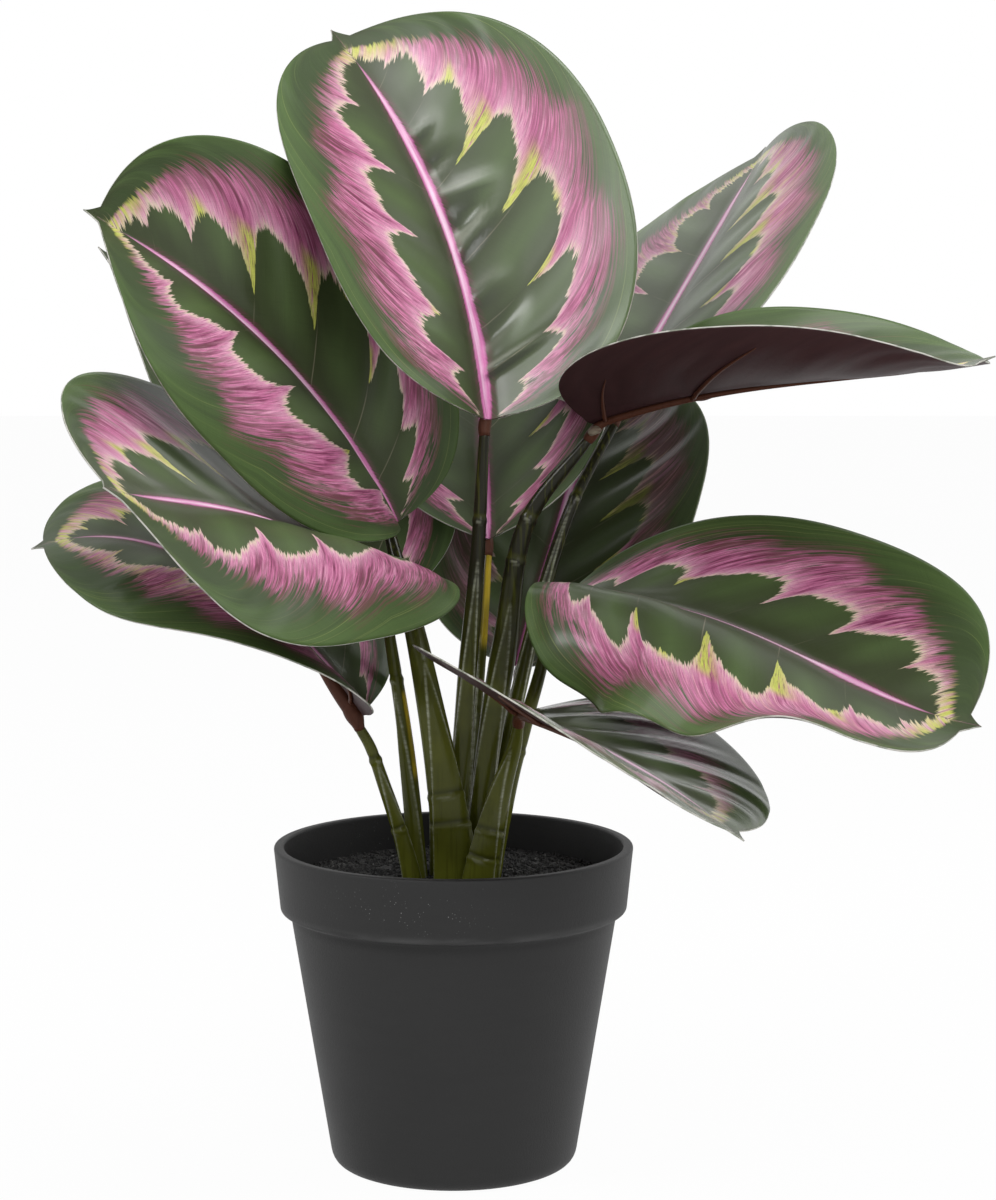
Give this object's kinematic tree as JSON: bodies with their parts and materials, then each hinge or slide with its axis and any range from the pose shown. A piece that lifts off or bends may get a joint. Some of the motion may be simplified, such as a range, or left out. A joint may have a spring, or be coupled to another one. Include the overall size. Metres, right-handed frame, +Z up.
{
  "type": "potted artificial prayer plant",
  "caption": "Artificial prayer plant with pink-banded leaves on olive stalks, in a round dark grey plastic pot with a rim band.",
  "frame": {"origin": "middle of the pot's flat underside", "axes": "+Z up along the pot's axis, -Y towards the plant's front"},
  "size_m": [0.3031, 0.3122, 0.3859],
  "materials": {
    "printed_leaf": "printed satin fabric, green with a pink band, maroon below",
    "rib_brown": "moulded satin plastic",
    "stalk_olive": "glossy moulded plastic",
    "soil_black": "loose black grains over a filler",
    "pot_charcoal": "fine-grained satin"
  },
  "bodies": {
    "root": {"pot": "pot_charcoal", "soil": "soil_black", "leaf_crown": "printed_leaf", "rib_crown": "rib_brown", "stalk_crown": "stalk_olive", "leaf_right_mid": "printed_leaf", "rib_right_mid": "rib_brown", "stalk_right_mid": "stalk_olive", "leaf_left_high": "printed_leaf", "rib_left_high": "rib_brown", "stalk_left_high": "stalk_olive", "leaf_left_mid": "printed_leaf", "rib_left_mid": "rib_brown", "stalk_left_mid": "stalk_olive", "leaf_right_low": "printed_leaf", "rib_right_low": "rib_brown", "stalk_right_low": "stalk_olive", "leaf_left_low": "printed_leaf", "rib_left_low": "rib_brown", "stalk_left_low": "stalk_olive", "leaf_centre_back": "printed_leaf", "rib_centre_back": "rib_brown", "stalk_centre_back": "stalk_olive", "leaf_right_high": "printed_leaf", "rib_right_high": "rib_brown", "stalk_right_high": "stalk_olive", "leaf_left_back": "printed_leaf", "rib_left_back": "rib_brown", "stalk_left_back": "stalk_olive", "leaf_front_low": "printed_leaf", "rib_front_low": "rib_brown", "stalk_front_low": "stalk_olive", "leaf_right_shade": "printed_leaf", "rib_right_shade": "rib_brown", "stalk_right_shade": "stalk_olive"}
  },
  "joints": []
}
